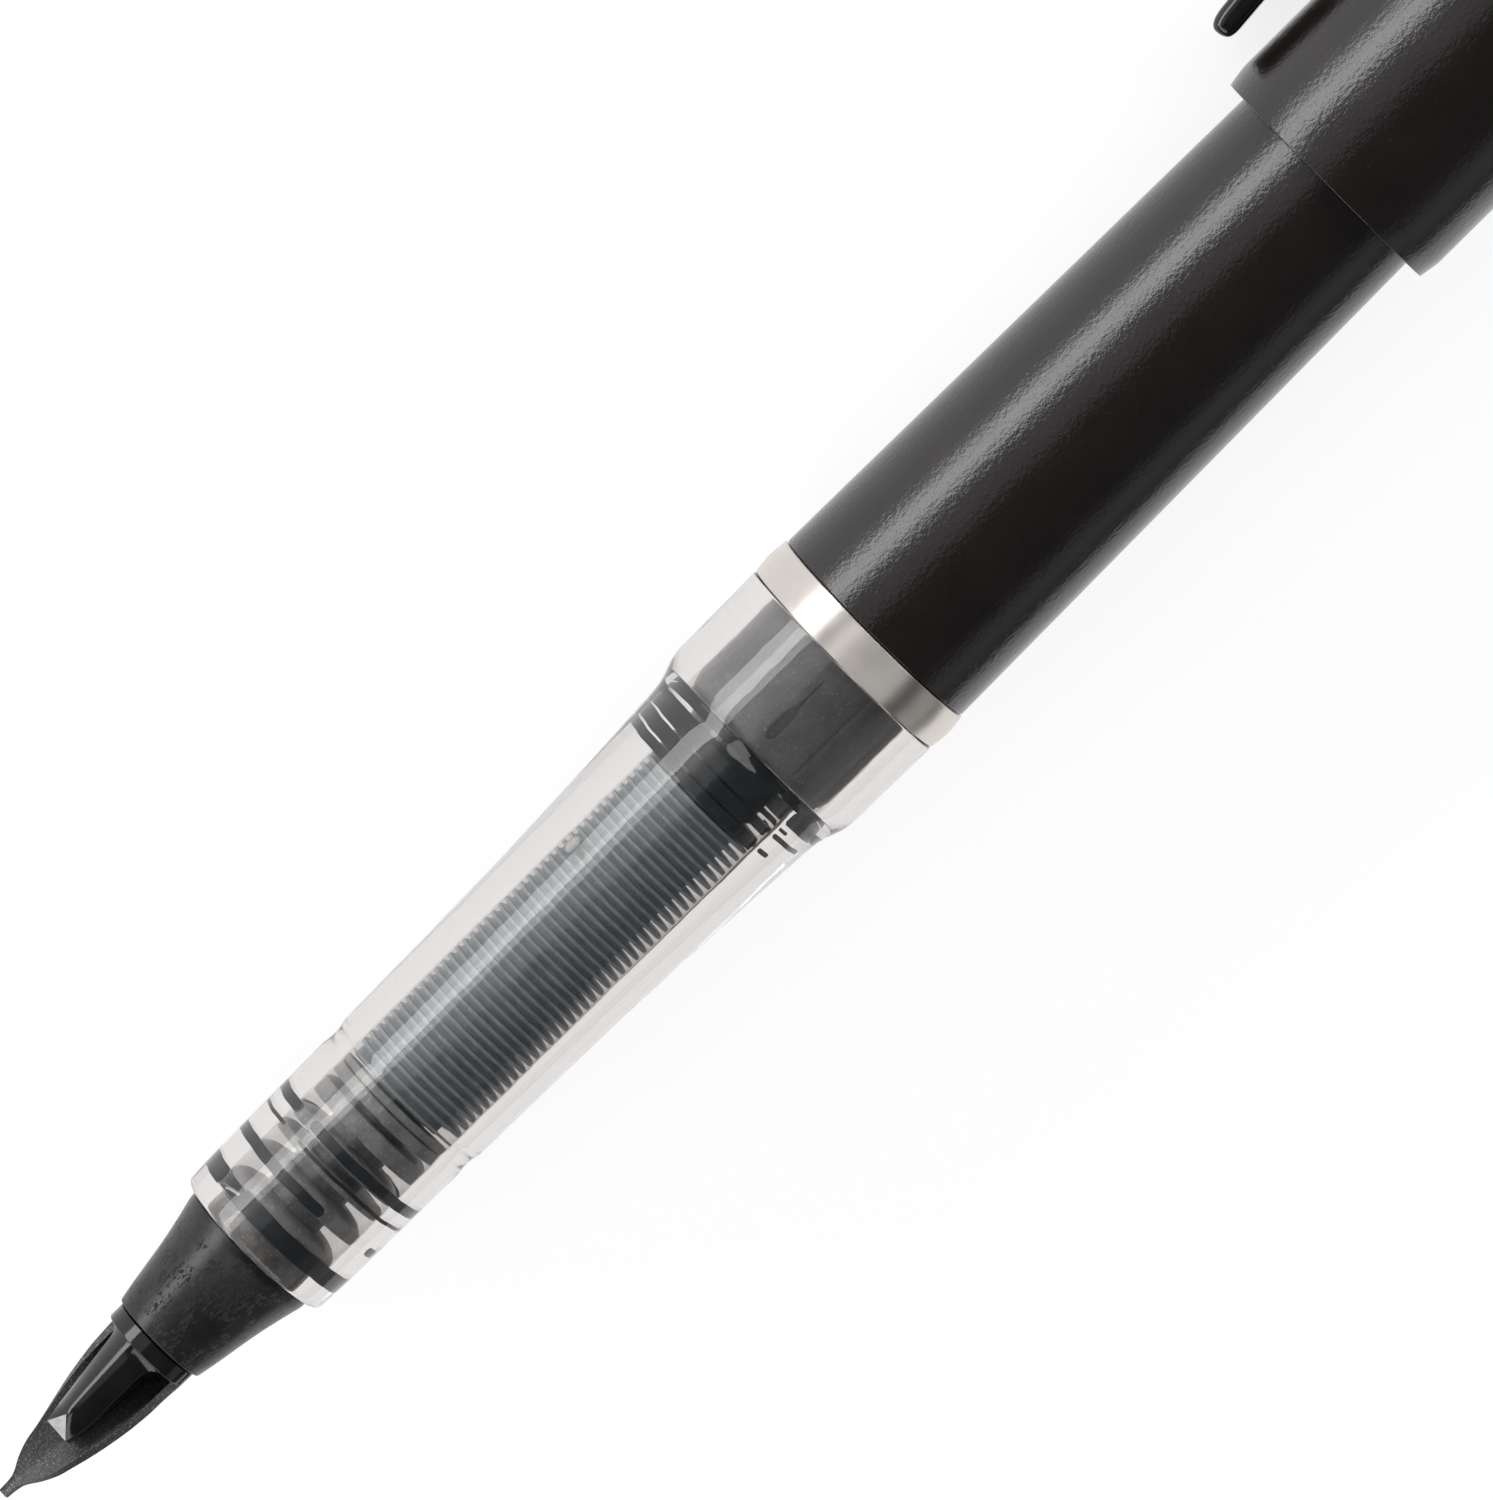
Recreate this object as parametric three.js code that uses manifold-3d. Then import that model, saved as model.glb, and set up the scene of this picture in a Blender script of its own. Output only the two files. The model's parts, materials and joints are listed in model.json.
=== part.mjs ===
// A pen with a moulded plastic nib, lying on its side with its cap pushed onto the rear of the barrel.
// A clear grip section shows the ink collector. The section screws into the barrel and carries the
// ink tank with it. Millimetres, +Z up. The pen lies along X: nib towards -X, cap towards +X. It is
// rolled towards +Y until the clip's edge meets the surface, as a pen with a clip comes to rest.
// Pieces are made about the X axis, with the clip at +Y. Distances called "at" or "from" run along
// the pen from the tip of the nib.
import * as THREE from 'three';
import { mergeVertices } from 'three/addons/utils/BufferGeometryUtils.js';
import Module from 'manifold-3d';

const wasm = await Module();
wasm.setup();

// Driving dimensions
const SIDES = 40;               // facets around a turned piece, one of them facing straight down
const INNER_SIDES = 16;         // facets around the pieces inside the section and the barrel
const REST_ROLL = 3 * 2 * Math.PI / SIDES;   // three facets, 27 degrees
const NIB_ROLL = Math.PI / 8;   // nib and feed are turned this far towards the clip
const NIB_THICKNESS = 0.42;
const FEED_STEM = { front: 1.2, rear: 1.62, step: 13.5, to: 18.85 };
const HOUSING = { from: 10.76, shoulder: 17.1, to: 18.4, mouth: 2.52, bore: 1.75 };
const SECTION = { from: 17.15, front: 18.46, counterbore: 52.2, shoulder: 58.1, to: 66.0 };
const SECTION_BORE = 3.45;
const NECK = { outer: 5.1, inner: 4.56 };
const WICK = { from: 12.0, to: 62.5, radius: 0.85 };
const WICK_BORE = 0.93;
const COLLECTOR = { core: 1.9, disc: 3.37, headFrom: 18.95, combFrom: 26.75, baseFrom: 48.35, to: 52.1 };
const COMB = { fins: 13, fin: 0.75 };
const SOCKET = { from: 52.3, floor: 59.5, to: 65.5, radius: 4.5, mouth: 3.72 };
const NIPPLE = { radius: 1.3, to: 63.0 };
const TANK = { from: 60.1, step: 66.3, to: 116.0, nose: 3.64, radius: 4.3, wall: 0.6 };
const TANK_PLUG = { from: 112.5, to: 118.5 };
const INK = { from: 67.6, to: 98.0 };
const SEAL_BALL = { at: 104.0, radius: 1.5 };
const RING = { from: 58.15, to: 60.2, edge: 6.1, bulge: 6.17, bore: 5.2 };
const BARREL = { from: 60.26, to: 128.5, front: 5.99, tail: 5.16, thread: 5.2, threadTo: 68.5 };
const TAIL_PLUG = { from: 125.5, to: 131.0, spigot: 4.36 };
const CAP = { mouth: 91.2, to: 152.4, radius: 6.73, lip: 6.5, lipBore: 6.15, grip: 100.6, bore: 5.56 };
const LINER = { from: 131.8, flangeTo: 134.2, neck: 145.5, to: 151.2, flange: 5.5, inner: 4.4, tail: 3.3 };
const CROWN = { from: 146.2, to: 158.2, spigot: 5.5, sleeve: 3.45, chamfer: 0.7 };
const CLIP = { tip: 92.55, top: 10.4, width: 4.8, edge: 0.35, footFrom: 153.3, footTo: 155.9, foot: 5.5 };
const CLIP_SLOT_GAP = 0.3;

function material(colour, roughness, metalness = 0) {
  return new THREE.MeshStandardMaterial({ color: colour, roughness, metalness });
}

const FINISH = {
  nib: material(0x4b4b4b, 0.6),
  glossBlack: material(0x0d0d0d, 0.15),
  softBlack: material(0x262423, 0.45),
  texturedBlack: material(0x282423, 0.55),
  clear: material(0xe8eaec, 0.05),
  slate: material(0x555f67, 0.5),
  darkGrey: material(0x3a3b3d, 0.4),
  fibre: material(0xd8d4cc, 0.9),
  ink: material(0x050505, 0.1),
  metal: material(0xc8beb4, 0.15, 1),
};

// Solids

// A turned piece: [distance along the pen, radius] corners, either from axis to axis or closed.
function turned(corners, sides = SIDES) {
  const points = corners.map(([along, radius]) => new THREE.Vector2(radius, along));
  const geometry = new THREE.LatheGeometry(points, sides, Math.PI / sides);
  return geometry.rotateZ(-Math.PI / 2);
}

// A turned piece with a hole through it: its outer corners, then its inner corners on the way back.
function tube(outer, inner, sides = SIDES) {
  return turned([...outer, ...inner.toReversed(), outer[0]], sides);
}

// A solid rod along the pen's axis.
function rod(from, to, radius) {
  return turned([[from, 0], [from, radius], [to, radius], [to, 0]], INNER_SIDES);
}

// A skin over closed rings of equal count, with both ends closed.
function lofted(rings) {
  const count = rings[0].length;
  const positions = rings.flat().flatMap((point) => [point.x, point.y, point.z]);
  const index = [];
  for (let ring = 0; ring < rings.length - 1; ring++) {
    for (let k = 0; k < count; k++) {
      const a = ring * count + k;
      const b = ring * count + (k + 1) % count;
      index.push(a, b, a + count, b, b + count, a + count);
    }
  }
  const flat = (ring) => ring.map((point) => new THREE.Vector2(point.y, point.z));
  const last = (rings.length - 1) * count;
  for (const [a, b, c] of THREE.ShapeUtils.triangulateShape(flat(rings[0]), [])) {
    index.push(c, b, a);
  }
  for (const [a, b, c] of THREE.ShapeUtils.triangulateShape(flat(rings.at(-1)), [])) {
    index.push(last + a, last + b, last + c);
  }
  const geometry = new THREE.BufferGeometry();
  geometry.setAttribute('position', new THREE.Float32BufferAttribute(positions, 3));
  geometry.setIndex(index);
  return geometry;
}

function box(low, high) {
  const size = high.map((value, i) => value - low[i]);
  const geometry = new THREE.BoxGeometry(...size);
  return geometry.translate(...low.map((value, i) => value + size[i] / 2));
}

function solid(geometry) {
  const bare = geometry.clone();
  bare.deleteAttribute('normal');
  bare.deleteAttribute('uv');
  const merged = mergeVertices(bare, 1e-4);
  const mesh = new wasm.Mesh({
    numProp: 3,
    vertProperties: new Float32Array(merged.attributes.position.array),
    triVerts: new Uint32Array(merged.index.array),
  });
  return new wasm.Manifold(mesh);
}

function geometryOf(manifold) {
  const mesh = manifold.getMesh();
  const geometry = new THREE.BufferGeometry();
  geometry.setAttribute('position', new THREE.BufferAttribute(mesh.vertProperties, 3));
  geometry.setIndex(new THREE.BufferAttribute(mesh.triVerts, 1));
  return geometry;
}

function piece(name, geometry, finish) {
  const mesh = new THREE.Mesh(geometry, finish);
  mesh.name = name;
  return mesh;
}

// Nib and feed

// The nib's half width, and how far the outside of its middle and of its edges lies below the axis.
const NIB_STATIONS = [
  { at: 0.0, half: 0.15, middle: 0.3, edge: 0.28, thick: 0.32 },
  { at: 0.85, half: 0.25, middle: 0.36, edge: 0.32, thick: 0.34 },
  { at: 1.6, half: 0.62, middle: 0.48, edge: 0.38, thick: 0.38 },
  { at: 2.6, half: 1.11, middle: 0.72, edge: 0.48, thick: NIB_THICKNESS },
  { at: 4.1, half: 1.54, middle: 0.9, edge: 0.5, thick: NIB_THICKNESS },
  { at: 6.5, half: 2.05, middle: 1.14, edge: 0.38, thick: NIB_THICKNESS },
  { at: 8.2, half: 2.3, middle: 1.4, edge: 0.25, thick: NIB_THICKNESS },
  { at: 10.0, half: 2.4, middle: 1.75, edge: 0.12, thick: NIB_THICKNESS },
  { at: 13.1, half: 2.4, middle: 1.85, edge: 0.12, thick: NIB_THICKNESS },
];

// One arched section of the nib. Its thickness lies along the arch's normals, and turns upright at
// the tip, where the arch is narrower than the nib is thick.
function nibRing({ at, half, middle, edge, thick }) {
  const rise = middle - edge;
  const radius = (half * half + rise * rise) / (2 * rise);
  const reach = Math.atan2(half, radius - rise);
  const lean = Math.min(1, at / 4);
  const steps = 8;
  const outer = [];
  const inner = [];
  for (let k = 0; k <= steps; k++) {
    const angle = reach * (2 * k / steps - 1);
    const point = new THREE.Vector3(at, radius * Math.sin(angle), radius * (1 - Math.cos(angle)) - middle);
    const inward = new THREE.Vector3(0, -Math.sin(angle * lean), Math.cos(angle * lean));
    outer.push(point);
    inner.push(point.clone().addScaledVector(inward, thick));
  }
  return [...outer, ...inner.reverse()];
}

function nib() {
  return piece('nib', lofted(NIB_STATIONS.map(nibRing)), FINISH.nib);
}

// The feed's keel: half width, height of its ridge and shoulders, and depth into the nib's trough.
const KEEL_STATIONS = [
  { at: 3.98, half: 0.75, ridge: 0.87, shoulder: 0.85, depth: 0.3 },
  { at: 5.06, half: 0.98, ridge: 1.49, shoulder: 0.78, depth: 0.4 },
  { at: 7.2, half: 1.15, ridge: 1.82, shoulder: 1.1, depth: 0.55 },
  { at: 9.2, half: 1.33, ridge: 2.1, shoulder: 1.38, depth: 0.8 },
  { at: 9.6, half: 1.6, ridge: 2.2, shoulder: 1.3, depth: 0.8 },
  { at: 9.85, half: 1.95, ridge: 2.25, shoulder: 1.1, depth: 0.8 },
];

function keelRing({ at, half, ridge, shoulder, depth }) {
  const slope = shoulder + (ridge - shoulder) * 0.8;
  const side = [[half * 0.45, slope], [half, shoulder], [half, 0.25], [half * 0.5, -depth]];
  const outline = [[0, ridge], ...side.map(([y, z]) => [-y, z]), ...side.toReversed()];
  return outline.map(([y, z]) => new THREE.Vector3(at, y, z));
}

function feed() {
  const { front, rear, step, to } = FEED_STEM;
  const collar = solid(turned([[9.8, 0], [9.8, 2.36], [9.9, 2.42], [10.5, 2.42], [10.5, 0]]));
  const aboveNib = solid(box([9, -4, 0.15], [11, 4, 4]));
  const stem = turned([[9.8, 0], [9.8, front], [step, front], [step, rear], [to, rear], [to, 0]]);
  const wickHole = solid(rod(WICK.from - 0.4, to + 1, WICK_BORE));
  const body = solid(lofted(KEEL_STATIONS.map(keelRing)))
    .add(collar.intersect(aboveNib))
    .add(solid(stem))
    .subtract(wickHole);
  return piece('feed', geometryOf(body), FINISH.glossBlack);
}

function nibHousing() {
  const { from, shoulder, to, mouth, bore } = HOUSING;
  const outer = [
    [from, 2.58], [from + 0.1, 2.68], [11.7, 2.87], [13.0, 3.03], [14.2, 3.25], [15.4, 3.5], [16.6, 3.81],
    [shoulder, 3.85], [shoulder, 2.9], [to, 2.9],
  ];
  const inner = [[from, mouth], [13.7, mouth], [13.7, bore], [to, bore]];
  return piece('nib_housing', tube(outer, inner), FINISH.softBlack);
}

// Grip section and what it holds

function gripSection() {
  const { from, front, counterbore, shoulder, to } = SECTION;
  const outer = [
    [from, 3.88], [17.4, 4.2], [18.0, 4.52], [26.9, 4.62], [28.4, 4.69], [34.2, 4.78], [39.1, 4.9],
    [44.0, 5.1], [48.9, 5.35], [50.9, 5.49], [51.8, 5.76], [52.8, 6.0], [shoulder, 6.08],
    [shoulder, NECK.outer], [to, NECK.outer],
  ];
  const inner = [
    [from, 2.95], [front, 2.95], [front, SECTION_BORE], [counterbore, SECTION_BORE],
    [counterbore, NECK.inner], [to, NECK.inner],
  ];
  return piece('grip_section', tube(outer, inner), FINISH.clear);
}

// Discs on a core, as [from, to] distances of each disc.
function discsOnCore(from, to, discs) {
  const { core, disc } = COLLECTOR;
  const steps = discs.flatMap(([a, b]) => [[a, core], [a, disc], [b, disc], [b, core]]);
  const outer = [[from, core], ...steps, [to, core]];
  return tube(outer, [[from, WICK_BORE], [to, WICK_BORE]], INNER_SIDES);
}

function collectorHead() {
  const discs = [[19.4, 20.3], [21.5, 22.3], [24.2, 25.1], [25.3, 26.2]];
  const { headFrom, combFrom } = COLLECTOR;
  return piece('collector_head', discsOnCore(headFrom, combFrom - 0.05, discs), FINISH.darkGrey);
}

function collectorComb() {
  const { combFrom, baseFrom } = COLLECTOR;
  const to = baseFrom - 0.05;
  const pitch = (to - combFrom - 1.2) / COMB.fins;
  const discs = Array.from({ length: COMB.fins }, (_, k) => {
    const start = combFrom + 0.8 + k * pitch;
    return [start, start + COMB.fin];
  });
  return piece('collector_comb', discsOnCore(combFrom, to, discs), FINISH.slate);
}

function collectorBase() {
  const { baseFrom, to } = COLLECTOR;
  const discs = [[baseFrom + 0.1, 49.2], [49.4, 50.1], [50.3, to - 0.1]];
  return piece('collector_base', discsOnCore(baseFrom, to, discs), FINISH.darkGrey);
}

function inkWick() {
  const { from, to, radius } = WICK;
  return piece('ink_wick', rod(from, to, radius), FINISH.fibre);
}

function tankSocket() {
  const { from, floor, to, radius, mouth } = SOCKET;
  const outer = [[from, radius - 0.2], [from + 0.2, radius], [to, radius]];
  const inner = [
    [from, WICK_BORE], [NIPPLE.to, WICK_BORE], [NIPPLE.to, NIPPLE.radius], [floor, NIPPLE.radius],
    [floor, mouth], [to, mouth],
  ];
  return piece('tank_socket', tube(outer, inner, INNER_SIDES), FINISH.darkGrey);
}

// Ink tank

function inkTank() {
  const { from, step, to, nose, radius, wall } = TANK;
  const outer = [[from, nose - 0.2], [from + 0.2, nose], [step, nose], [step, radius], [to, radius]];
  const mouth = NIPPLE.radius + 0.08;
  const hollow = INK.from - 0.3;
  const inner = [[from, mouth], [hollow, mouth], [hollow, radius - wall], [to, radius - wall]];
  return piece('ink_tank', tube(outer, inner, INNER_SIDES), FINISH.clear);
}

function tankPlug() {
  const { from, to } = TANK_PLUG;
  const spigot = TANK.radius - TANK.wall - 0.04;
  const lip = TANK.to + 0.05;
  const outer = [
    [from, spigot], [lip, spigot], [lip, TANK.radius], [to - 0.3, TANK.radius], [to, TANK.radius - 0.3],
  ];
  const inner = [[from, spigot - 0.7], [lip, spigot - 0.7], [lip, 0]];
  const outline = [...inner.toReversed(), ...outer, [to, 0]];
  return piece('tank_plug', turned(outline, INNER_SIDES), FINISH.darkGrey);
}

// The ball that sealed the tank until the nipple pushed it in. It lies on the tank's floor.
function tankSealBall() {
  const { at, radius } = SEAL_BALL;
  const floor = (TANK.radius - TANK.wall) * Math.cos(Math.PI / INNER_SIDES);
  const geometry = new THREE.SphereGeometry(radius, 16, 10);
  return piece('tank_seal_ball', geometry.translate(at, 0, radius + 0.06 - floor), FINISH.fibre);
}

function ink() {
  const radius = TANK.radius - TANK.wall - 0.05;
  const { from, to } = INK;
  return piece('ink', rod(from, to, radius), FINISH.ink);
}

// Barrel

function trimRing() {
  const { from, to, edge, bulge, bore } = RING;
  const outer = [
    [from, edge - 0.12], [from + 0.12, edge], [(from + to) / 2, bulge], [to - 0.12, edge], [to, edge - 0.12],
  ];
  return piece('trim_ring', tube(outer, [[from, bore], [to, bore]]), FINISH.metal);
}

function barrel() {
  const { from, to, front, tail, thread, threadTo } = BARREL;
  const outer = [[from, front], [91.2, 5.62], [to, tail]];
  const seat = TAIL_PLUG.from - 1.5;
  const inner = [
    [from, thread], [threadTo, thread], [threadTo, 4.75], [seat, 4.5], [seat, 4.42], [to, 4.42],
  ];
  return piece('barrel', tube(outer, inner), FINISH.texturedBlack);
}

function barrelTailPlug() {
  const { from, to, spigot } = TAIL_PLUG;
  const seat = BARREL.to + 0.05;
  const outer = [
    [from, spigot], [seat, spigot], [seat, BARREL.tail], [to - 0.9, 5.05], [to - 0.25, 4.7], [to, 4.2],
  ];
  const inner = [[from, spigot - 0.8], [seat, spigot - 0.8], [seat, 0]];
  return piece('barrel_tail_plug', turned([...inner.toReversed(), ...outer, [to, 0]]), FINISH.texturedBlack);
}

// Cap

function capShell() {
  const { mouth, to, radius, lip, lipBore, grip, bore } = CAP;
  const outer = [[mouth, lip], [mouth + 0.5, 6.62], [mouth + 1.2, radius], [to, radius]];
  const inner = [[mouth, lipBore], [grip - 1.5, lipBore], [grip, bore], [to, bore]];
  return piece('cap_shell', tube(outer, inner), FINISH.texturedBlack);
}

function capLiner() {
  const { from, flangeTo, neck, to, flange, inner, tail } = LINER;
  const wall = 0.6;
  const outer = [
    [from, flange], [flangeTo, flange], [flangeTo, inner + wall], [neck - 1.2, inner + wall], [neck, tail],
    [to, tail],
  ];
  const hollow = [
    [from, inner + 0.3], [from + 0.8, inner], [neck - 1.2 - wall, inner], [neck - wall, tail - wall],
    [to - 0.8, tail - wall], [to - 0.8, 0],
  ];
  return piece('cap_liner', turned([...hollow.toReversed(), ...outer, [to, 0]]), FINISH.darkGrey);
}

function capCrown() {
  const { from, to, spigot, sleeve, chamfer } = CROWN;
  const seat = CAP.to + 0.05;
  const floor = LINER.to + 0.3;
  const outer = [[from, spigot], [seat, spigot], [seat, CAP.radius], [to - chamfer, CAP.radius],
    [to, CAP.radius - chamfer]];
  const inner = [[from, sleeve], [floor, sleeve], [floor, 0]];
  const { footFrom, footTo, foot, width } = CLIP;
  const half = width / 2 + CLIP_SLOT_GAP;
  const slot = box(
    [footFrom - CLIP_SLOT_GAP, foot - CLIP_SLOT_GAP, -half],
    [footTo + CLIP_SLOT_GAP, CAP.radius + 1, half],
  );
  const body = solid(turned([...inner.toReversed(), ...outer, [to, 0]])).subtract(solid(slot));
  return piece('cap_crown', geometryOf(body), FINISH.texturedBlack);
}

function clip() {
  const { tip, top, width, edge, footFrom, footTo, foot } = CLIP;
  const side = new THREE.Shape();
  side.moveTo(tip + 0.15, 8.35);
  side.quadraticCurveTo(tip + 0.3, 8.1, tip + 0.9, 8.14);
  side.lineTo(97.2, 8.4);
  side.quadraticCurveTo(98.2, 6.95, 99.4, 6.95);
  side.quadraticCurveTo(100.6, 6.95, 101.6, 8.66);
  side.quadraticCurveTo(110, 9.05, 120, 9.05);
  side.lineTo(144, 9.05);
  side.quadraticCurveTo(149, 9.0, 150.5, 7.8);
  side.quadraticCurveTo(151.2, 7.15, footFrom, 7.1);
  side.lineTo(footFrom, foot);
  side.lineTo(footTo, foot);
  side.lineTo(footTo, 8.3);
  side.quadraticCurveTo(footTo, 9.6, 152, 9.9);
  side.quadraticCurveTo(140, top, 126, top);
  side.quadraticCurveTo(108, top, 96, 9.75);
  side.lineTo(tip + 1.1, 9.52);
  side.quadraticCurveTo(tip, 9.4, tip, 8.9);
  side.quadraticCurveTo(tip, 8.6, tip + 0.15, 8.35);
  const depth = width - 2 * edge;
  const geometry = new THREE.ExtrudeGeometry(side, {
    depth, curveSegments: 5, bevelThickness: edge, bevelSize: edge, bevelOffset: -edge, bevelSegments: 1,
  });
  return piece('clip', geometry.translate(0, 0, -depth / 2), FINISH.glossBlack);
}

// Assembly

const writingTip = new THREE.Group();
writingTip.rotation.x = -NIB_ROLL;
writingTip.add(nib(), feed());

const pen = new THREE.Group();
pen.rotation.x = -REST_ROLL;
pen.add(
  writingTip, nibHousing(), gripSection(),
  collectorHead(), collectorComb(), collectorBase(), inkWick(), tankSocket(),
  inkTank(), tankPlug(), tankSealBall(), ink(),
  trimRing(), barrel(), barrelTailPlug(),
  capShell(), capLiner(), capCrown(), clip(),
);

// The origin is the middle of the pen's extent, on the surface that it lies on.
const extent = new THREE.Box3().setFromObject(pen, true);
const middle = extent.getCenter(new THREE.Vector3());
pen.position.set(-middle.x, -middle.y, -extent.min.z);

const model = new THREE.Group();
model.add(pen);
export default model;
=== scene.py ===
"""Looks of a pen with a moulded plastic nib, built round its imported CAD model.

Pieces are made in millimetres about the pen's own axes: X along the pen from the tip of the nib, Y
towards the clip and Z towards the camera's side. Angles round the pen are in degrees from Z towards Y.
PEN places these axes in the row frame, and NIB is PEN turned for the nib and the feed.
"""
import json
import math

import bmesh
import bpy
from mathutils import Matrix, Vector

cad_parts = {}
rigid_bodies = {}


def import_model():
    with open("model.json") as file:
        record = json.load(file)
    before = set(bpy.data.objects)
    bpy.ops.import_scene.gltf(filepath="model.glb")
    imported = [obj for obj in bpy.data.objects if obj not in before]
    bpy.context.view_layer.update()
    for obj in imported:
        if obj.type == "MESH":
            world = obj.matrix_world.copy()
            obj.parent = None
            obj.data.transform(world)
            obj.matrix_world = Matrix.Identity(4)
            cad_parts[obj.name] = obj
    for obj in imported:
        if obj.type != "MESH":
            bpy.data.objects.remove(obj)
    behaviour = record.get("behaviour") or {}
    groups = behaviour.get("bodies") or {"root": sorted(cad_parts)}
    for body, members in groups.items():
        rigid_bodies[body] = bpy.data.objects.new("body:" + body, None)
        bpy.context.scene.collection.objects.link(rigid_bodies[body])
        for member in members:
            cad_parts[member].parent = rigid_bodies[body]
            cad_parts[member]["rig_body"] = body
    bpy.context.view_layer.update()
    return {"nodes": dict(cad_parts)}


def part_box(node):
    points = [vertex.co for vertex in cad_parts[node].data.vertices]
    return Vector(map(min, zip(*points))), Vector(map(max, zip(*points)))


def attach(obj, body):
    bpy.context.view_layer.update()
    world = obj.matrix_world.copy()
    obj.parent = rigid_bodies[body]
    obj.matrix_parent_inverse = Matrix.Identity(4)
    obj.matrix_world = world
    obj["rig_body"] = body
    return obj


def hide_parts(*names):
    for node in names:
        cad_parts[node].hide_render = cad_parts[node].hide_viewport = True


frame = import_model()

# Driving dimensions, in millimetres and degrees

MM = 0.001
STEPS = 160                 # steps round a whole turn
REST_ROLL = 27              # the pen lies on its clip's edge, rolled this far towards the clip
NIB_ROLL = 22.5             # the nib and the feed are turned this far towards the clip
SEAM = 0.05                 # between two pieces pressed together, where one stops at the other's end

NIB_TO = 13.1
NIB_ACROSS = 24
SLIT = {"from": 1.2, "to": 8.4, "depth": 0.12}
CREASE = {"from": 0.9, "fade": 1.5, "depth": 0.16}
UPRIGHT_TO = 4              # up to here the nib's edges turn from upright to square with the arch
FACET = {"from": 3.98, "to": 5.06, "skin": 0.012, "root": 0.06}
FEED_COLLAR = {"from": 9.78, "to": 10.66, "radius": 2.48, "inner": 1.0, "half_turn": 86.5}
FEED_STEM = {"from": 9.9, "wick": 11.6, "step": 13.4, "to": 18.85, "front": 1.2, "rear": 1.62}
HOUSING = {"from": 10.76, "front": 2.66, "nib_stop": 13.7, "shoulder": 17.1, "to": 18.4, "rim": 3.84,
           "spigot": 2.9, "mouth": 2.52, "bore": 1.75}
SPIGOT_SLEEVE = {"from": 17.13, "to": 18.36, "inner": 2.85, "radius": 2.93}
SECTION = {"from": 17.15, "front": 18.46, "counterbore": 52.2, "shoulder": 58.1, "to": 66.0, "collar": 6.07,
           "rim": 4.46, "hole": 2.95}
SECTION_BORE = 3.45
NECK = {"root": 4.92, "crest": 5.13, "inner": 4.56, "pitch": 1.5, "thread_from": 60.9, "thread_to": 65.2}
THREAD = {"steps": 48, "foot": 0.42, "flat": 0.14, "sunk": 0.03, "lead": 3}
BUBBLE = {"at": 42.6, "from_axis": 3.75, "angle": 43, "long": 0.48, "wide": 0.3, "deep": 0.2}
WICK_BORE = 0.93
COLLECTOR = {"disc": 3.37, "core": 1.78, "rear_core": 2.4, "from": 18.95, "comb": 27.75, "base": 48.35,
             "to": 52.1, "soft": 0.05, "dome_foot": 2.0}
FIN = {"pitch": 0.494, "thick": 0.31, "taper": 0.07, "first": 27.8, "to": 48.4, "core": 3.13, "flat": 2.2}
SOCKET = {"from": 52.3, "floor": 59.5, "nipple_to": 63.0, "to": 65.5, "radius": 4.5, "mouth": 3.72,
          "nipple": 1.3, "groove": 0.1, "edge": 0.2}
INK = {"floor": 3.36, "into_wall": 0.02, "corner": 0.22, "sway": 0.02, "ripple": 0.012}
RING = {"from": 58.15, "to": 60.2, "edge": 6.08, "bulge": 6.17, "bore": 5.2, "lip": 0.12}
BARREL = {"from": 60.26, "thread_to": 68.5, "to": 128.5, "front": 5.99, "middle": 5.62, "tail": 5.16,
          "thread": 5.2, "bore": 4.75, "step": 124.0, "step_bore": 4.5, "rear_bore": 4.42}
TAIL_PLUG = {"from": 125.5, "to": 131.0, "spigot": 4.36, "wall": 0.8}
CAP = {"mouth": 91.2, "to": 152.4, "radius": 6.73, "lip": 6.56, "lip_slope": 1.05, "lip_bore": 6.15,
       "grip": 100.6, "grip_slope": 1.5, "bore": 5.56}
CROWN = {"from": 146.2, "to": 158.2, "spigot": 5.5, "sleeve": 3.45, "floor": 151.5, "chamfer": 0.7,
         "face": 5.9, "dish": 0.18, "dish_radius": 5.2}
CLIP = {"tip": 92.55, "top": 10.4, "width": 4.8, "edge": 0.55, "foot_from": 153.3, "foot_to": 155.9,
        "foot": 5.5, "gap": 0.3}

CAMERA = {"from": (100.1, 0.0, 680.0), "at": (51.6, 0.176, 0.0), "roll": 44.86, "lens": 334.9}
LIGHTS_AIM = (55.0, 0.0, 0.0)

barrel_low, barrel_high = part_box("barrel")
axis_point = (barrel_low + barrel_high) / 2
PEN = Matrix.Translation((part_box("nib")[0].x, axis_point.y, axis_point.z))
PEN = PEN @ Matrix.Rotation(-math.radians(REST_ROLL), 4, "X")
NIB = PEN @ Matrix.Rotation(-math.radians(NIB_ROLL), 4, "X")


# Outlines

def rounded(corners):
    """A closed outline of (along, radius) corners, rounded where a corner has a third value."""
    steps = 5
    longest_share = 0.45    # of the side next to the corner
    outline = []
    for i, (along, radius, *fillet) in enumerate(corners):
        corner = Vector((along, radius))
        if not fillet:
            outline.append(corner)
            continue
        ends = []
        for other in (corners[i - 1], corners[(i + 1) % len(corners)]):
            side = Vector(other[:2]) - corner
            ends.append(corner + side.normalized() * min(fillet[0], side.length * longest_share))
        for k in range(steps + 1):
            t = k / steps
            outline.append(ends[0] * (1 - t) ** 2 + corner * 2 * t * (1 - t) + ends[1] * t * t)
    return outline


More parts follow.
